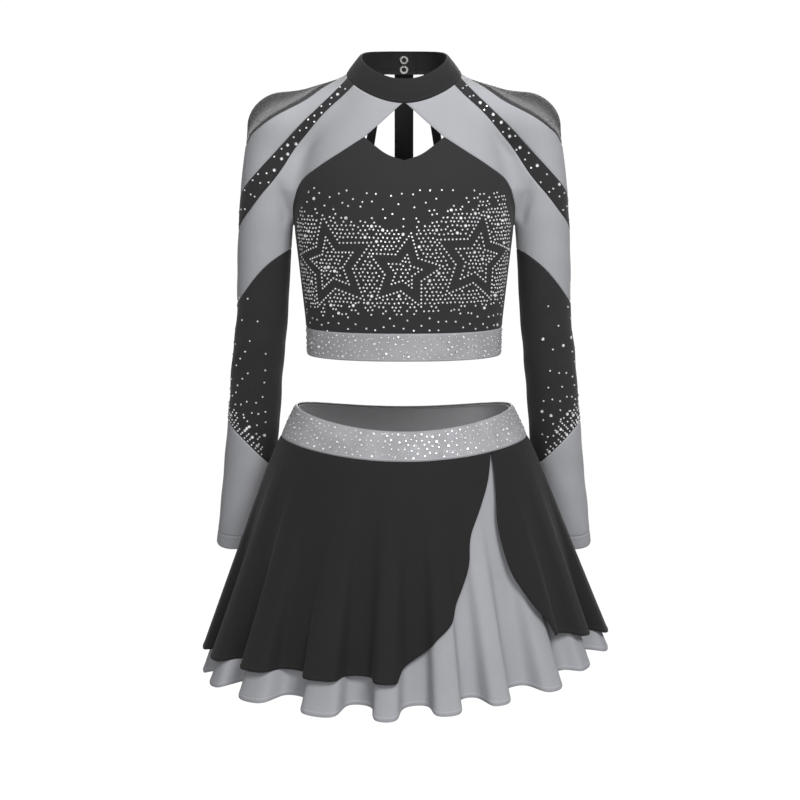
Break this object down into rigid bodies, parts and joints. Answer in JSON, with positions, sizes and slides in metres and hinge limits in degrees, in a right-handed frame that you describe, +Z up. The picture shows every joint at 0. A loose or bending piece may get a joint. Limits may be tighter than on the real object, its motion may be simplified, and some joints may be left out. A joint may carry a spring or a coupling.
{
  "type": "cheer uniform",
  "caption": "Long-sleeved cropped cheer top with mock neck, keyhole and strap back, and a matching two-layer petal skirt with an elastic waistband.",
  "frame": {"origin": "middle of the neck at the base of the neckband, where the garment hangs from the neck and shoulders", "axes": "+Z up, -Y out of the garment's front, +X to the wearer's left"},
  "size_m": [0.4857, 0.3631, 0.7569],
  "materials": {
    "black_knit": "matt black stretch knit, 4-way, close fine rib on the face",
    "black_skirt_knit": "matt black stretch knit with a soft drape",
    "grey_knit": "cool grey stretch knit with a faint sheen",
    "grey_skirt_knit": "cool grey stretch knit with a soft drape",
    "glitter_knit": "grey knit coated with fine silver glitter",
    "lining_knit": "dark grey lining knit, matt",
    "elastic_web": "woven elastic webbing",
    "mesh_net": "sheer black power net, see-through",
    "snap_metal": "polished silver ring snap"
  },
  "bodies": {
    "crop_top": {"neckband": "black_knit", "bodice_front": "black_knit", "bodice_back": "black_knit", "hem_band": "glitter_knit", "hem_elastic": "elastic_web", "hem_band_lining": "lining_knit", "centre_back_strap": "black_knit", "left_side_strap": "black_knit", "right_side_strap": "black_knit", "snap_upper_stud_ring": "snap_metal", "snap_upper_stud": "snap_metal", "snap_lower_stud_ring": "snap_metal", "snap_lower_stud": "snap_metal", "left_mesh_inset": "mesh_net", "left_upper_stripe": "grey_knit", "left_stone_stripe": "black_knit", "left_raglan_front": "grey_knit", "left_raglan_back": "grey_knit", "right_mesh_inset": "mesh_net", "right_upper_stripe": "grey_knit", "right_stone_stripe": "black_knit", "right_raglan_front": "grey_knit", "right_raglan_back": "grey_knit"},
    "neck_flap": {"neckband_flap": "black_knit", "snap_upper_socket": "snap_metal", "snap_upper_cap_ring": "snap_metal", "snap_lower_socket": "snap_metal", "snap_lower_cap_ring": "snap_metal"},
    "left_sleeve": {"left_upper_sleeve": "grey_knit", "left_mid_sleeve": "black_knit", "left_lower_sleeve": "grey_knit", "left_cuff_hem": "grey_knit"},
    "right_sleeve": {"right_upper_sleeve": "grey_knit", "right_mid_sleeve": "black_knit", "right_lower_sleeve": "grey_knit", "right_cuff_hem": "grey_knit"},
    "skirt": {"waistband": "glitter_knit", "waist_elastic": "elastic_web", "waistband_lining": "lining_knit", "overskirt_front": "black_skirt_knit", "overskirt_wrap": "black_skirt_knit", "overskirt_back": "black_skirt_knit", "underskirt_front": "grey_skirt_knit", "underskirt_back": "grey_skirt_knit"}
  },
  "joints": [
    {"name": "neck_flap_open", "type": "hinge", "parent": "crop_top", "child": "neck_flap", "pos_m": [0.05404, 0.03503, 0.01226], "axis": [0.4012, 0.1372, -0.9057], "range_deg": [0, 70]},
    {"name": "left_shoulder_raise", "type": "hinge", "parent": "crop_top", "child": "left_sleeve", "pos_m": [0.152, 0.005, -0.115], "axis": [0, -1, 0], "range_deg": [0, 55]},
    {"name": "right_shoulder_raise", "type": "hinge", "parent": "crop_top", "child": "right_sleeve", "pos_m": [-0.152, 0.005, -0.115], "axis": [0, 1, 0], "range_deg": [0, 55]},
    {"name": "skirt_pull_down", "type": "slide", "parent": "crop_top", "child": "skirt", "axis": [0, 0, -1], "range_m": [0, 0.25]}
  ]
}
